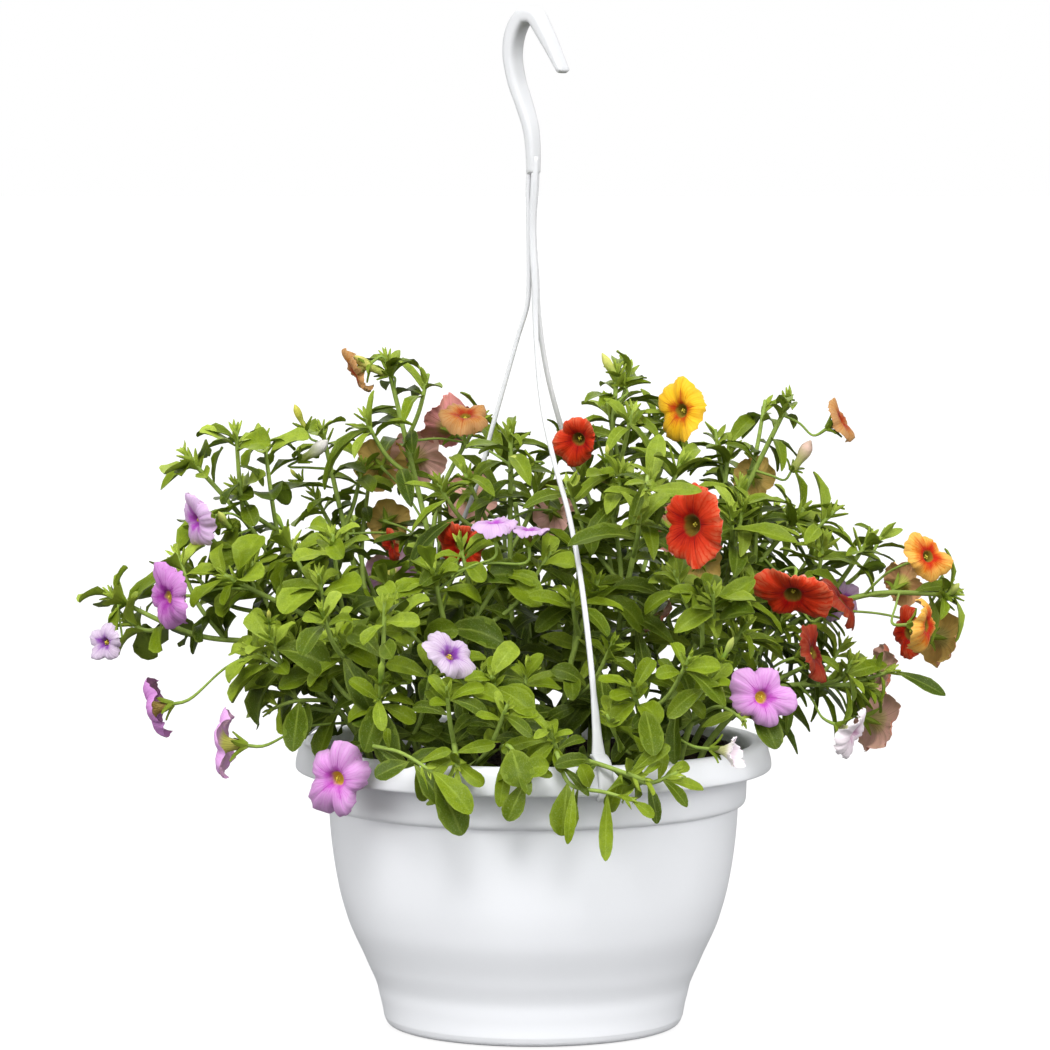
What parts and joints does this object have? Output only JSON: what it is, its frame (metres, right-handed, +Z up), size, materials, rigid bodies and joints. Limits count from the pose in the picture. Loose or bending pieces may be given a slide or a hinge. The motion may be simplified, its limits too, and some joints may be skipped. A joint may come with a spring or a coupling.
{
  "type": "petunia hanging basket",
  "caption": "Planted hanging pot: trailing mini petunias in mixed colours fill a round white plastic pot that hangs from a moulded three-strap hanger with a hook.",
  "frame": {"origin": "middle of the pot's base, on the surface that it stands on", "axes": "+Z up through the pot's axis towards the hook; the picture looks along +Y from in front, with +X to the right"},
  "size_m": [0.4651, 0.3361, 0.5334],
  "materials": {
    "pot": "white satin moulded plastic",
    "soil": null,
    "hanger": "white glossy moulded plastic",
    "round_leaves": null,
    "narrow_leaves": null,
    "petal_pink": "velvety petal",
    "petal_lilac": "velvety petal",
    "petal_pale_lilac": "velvety petal",
    "petal_magenta": "velvety petal",
    "petal_red": "velvety petal",
    "petal_orange": "velvety petal",
    "petal_yellow": "velvety petal",
    "petal_faded": "fading petal, dull back",
    "petal_blush": "velvety petal"
  },
  "bodies": {
    "root": {"pot": "pot", "soil": "soil", "hanger": "hanger", "bloom_01": "petal_pink", "bloom_02": "petal_pink", "bloom_03": "petal_pale_lilac", "bloom_04": "petal_lilac", "bloom_05": "petal_lilac", "bloom_06": "petal_magenta", "bloom_07": "petal_pale_lilac", "bloom_08": "petal_magenta", "bloom_09": "petal_pink", "bloom_10": "petal_red", "bloom_11": "petal_yellow", "bloom_12": "petal_red", "bloom_13": "petal_orange", "bloom_14": "petal_red", "bloom_15": "petal_red", "bloom_16": "petal_red", "bloom_17": "petal_orange", "bloom_18": "petal_orange", "bloom_19": "petal_orange", "bloom_20": "petal_faded", "bloom_21": "petal_faded", "bloom_22": "petal_blush", "bloom_23": "petal_blush", "bloom_24": "petal_orange", "bloom_25": "petal_red", "bloom_26": "petal_faded", "bloom_27": "petal_faded", "bloom_28": "petal_orange", "bloom_29": "petal_pink", "bloom_30": "petal_red", "bloom_31": "petal_lilac", "stem_01": "round_leaves", "stem_02": "round_leaves", "stem_03": "round_leaves", "stem_04": "round_leaves", "stem_05": "round_leaves", "stem_06": "round_leaves", "stem_07": "round_leaves", "stem_08": "round_leaves", "stem_09": "round_leaves", "stem_10": "round_leaves", "stem_11": "round_leaves", "stem_12": "round_leaves", "stem_13": "narrow_leaves", "stem_14": "narrow_leaves", "stem_15": "narrow_leaves", "stem_16": "narrow_leaves", "stem_17": "narrow_leaves", "stem_18": "narrow_leaves", "stem_19": "narrow_leaves", "stem_20": "narrow_leaves", "stem_21": "narrow_leaves", "stem_22": "narrow_leaves", "stem_23": "round_leaves", "stem_24": "narrow_leaves", "stem_25": "narrow_leaves", "stem_26": "round_leaves"}
  },
  "joints": []
}
